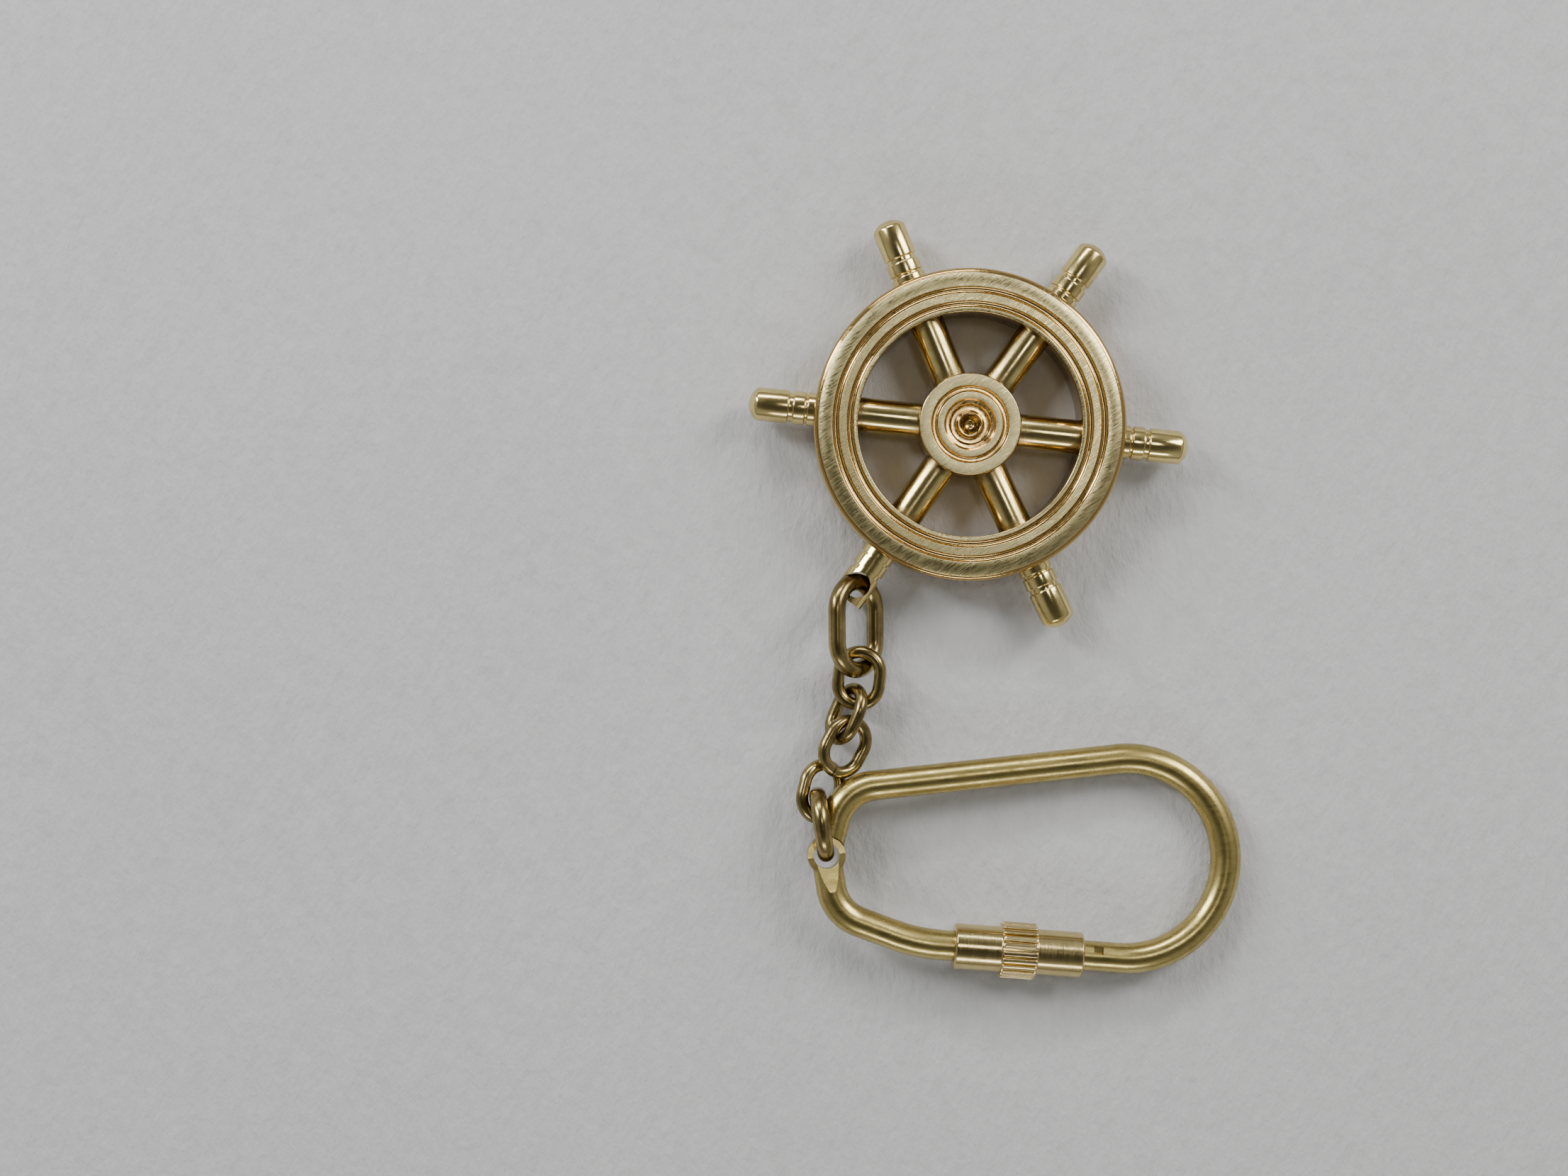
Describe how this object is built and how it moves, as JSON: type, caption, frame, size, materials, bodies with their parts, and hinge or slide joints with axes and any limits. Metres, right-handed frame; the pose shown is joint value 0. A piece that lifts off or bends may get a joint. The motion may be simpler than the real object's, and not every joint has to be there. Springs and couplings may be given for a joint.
{
  "type": "key chain",
  "caption": "Brass key chain: a small turned ship's wheel, a jump ring, a short chain of oval links and a key ring closed by a knurled screw sleeve.",
  "frame": {"origin": "centre of the hub's flat back face, on the table", "axes": "+Z along the wheel's axle, out of its face and up from the table; -Y roughly from the wheel towards the key ring"},
  "size_m": [0.0574, 0.0882, 0.0082],
  "materials": {
    "lapped_brass": "lapped flat, with fine scratches",
    "polished_brass": "polished",
    "chain_brass": "aged, rubbed bright on the outside",
    "ring_brass": "satin",
    "sleeve_brass": "polished, with fine turning lines"
  },
  "bodies": {
    "wheel": {"rim": "lapped_brass", "hub": "lapped_brass", "spoke_1": "polished_brass", "spoke_2": "polished_brass", "spoke_3": "polished_brass", "spoke_4": "polished_brass", "shackle_spoke": "polished_brass", "spoke_6": "polished_brass"},
    "jump_ring": {"jump_ring": "chain_brass"},
    "link_1": {"chain_link_1": "chain_brass"},
    "link_2": {"chain_link_2": "chain_brass"},
    "link_3": {"chain_link_3": "chain_brass"},
    "link_4": {"chain_link_4": "chain_brass"},
    "end_link": {"end_link": "chain_brass"},
    "key_ring": {"long_arm": "ring_brass", "short_arm": "ring_brass"},
    "retaining_ring": {"retaining_ring": "sleeve_brass"},
    "lock_sleeve": {"lock_sleeve": "sleeve_brass"}
  },
  "joints": [
    {"name": "jump_ring_swing", "type": "hinge", "parent": "wheel", "child": "jump_ring", "pos_m": [-0.01302, -0.0215, 0.00355], "axis": [0.7431, 0.0065, 0.6691], "range_deg": [-20, 20]},
    {"name": "link_1_swing", "type": "hinge", "parent": "jump_ring", "child": "link_1", "pos_m": [-0.01357, -0.02818, 0.00423], "axis": [0.6468, -0.2631, -0.7158], "range_deg": [-4, 20]},
    {"name": "link_2_swing", "type": "hinge", "parent": "link_1", "child": "link_2", "pos_m": [-0.01466, -0.03137, 0.00269], "axis": [0.5759, -0.8175, 0.0107], "range_deg": [-4, 20]},
    {"name": "link_3_swing", "type": "hinge", "parent": "link_2", "child": "link_3", "pos_m": [-0.0147, -0.03629, 0.00383], "axis": [0.601, 0.2659, 0.7537], "range_deg": [-20, 20]},
    {"name": "link_4_swing", "type": "hinge", "parent": "link_3", "child": "link_4", "pos_m": [-0.01628, -0.03943, 0.00435], "axis": [0.5608, -0.7448, -0.3616], "range_deg": [-8, 4]},
    {"name": "end_link_swing", "type": "hinge", "parent": "link_4", "child": "end_link", "pos_m": [-0.01627, -0.04526, 0.00262], "axis": [0.7623, 0.459, -0.4562], "range_deg": [-1, 15]},
    {"name": "key_ring_swing", "type": "hinge", "parent": "end_link", "child": "key_ring", "pos_m": [-0.01653, -0.04957, 0.00412], "axis": [0, 0, 1], "range_deg": [-3, 1]},
    {"name": "sleeve_travel", "type": "slide", "parent": "key_ring", "child": "retaining_ring", "axis": [0.9958, -0.0791, -0.0471], "range_m": [0, 0.0035]},
    {"name": "sleeve_turn", "type": "hinge", "parent": "retaining_ring", "child": "lock_sleeve", "pos_m": [0.00572, -0.06091, 0.00333], "axis": [0.9958, -0.0791, -0.0471], "range_deg": [0, 1800]}
  ],
  "couplings": [
    {"joint": "sleeve_turn", "follows": "sleeve_travel", "rad_per_m": 8976}
  ]
}
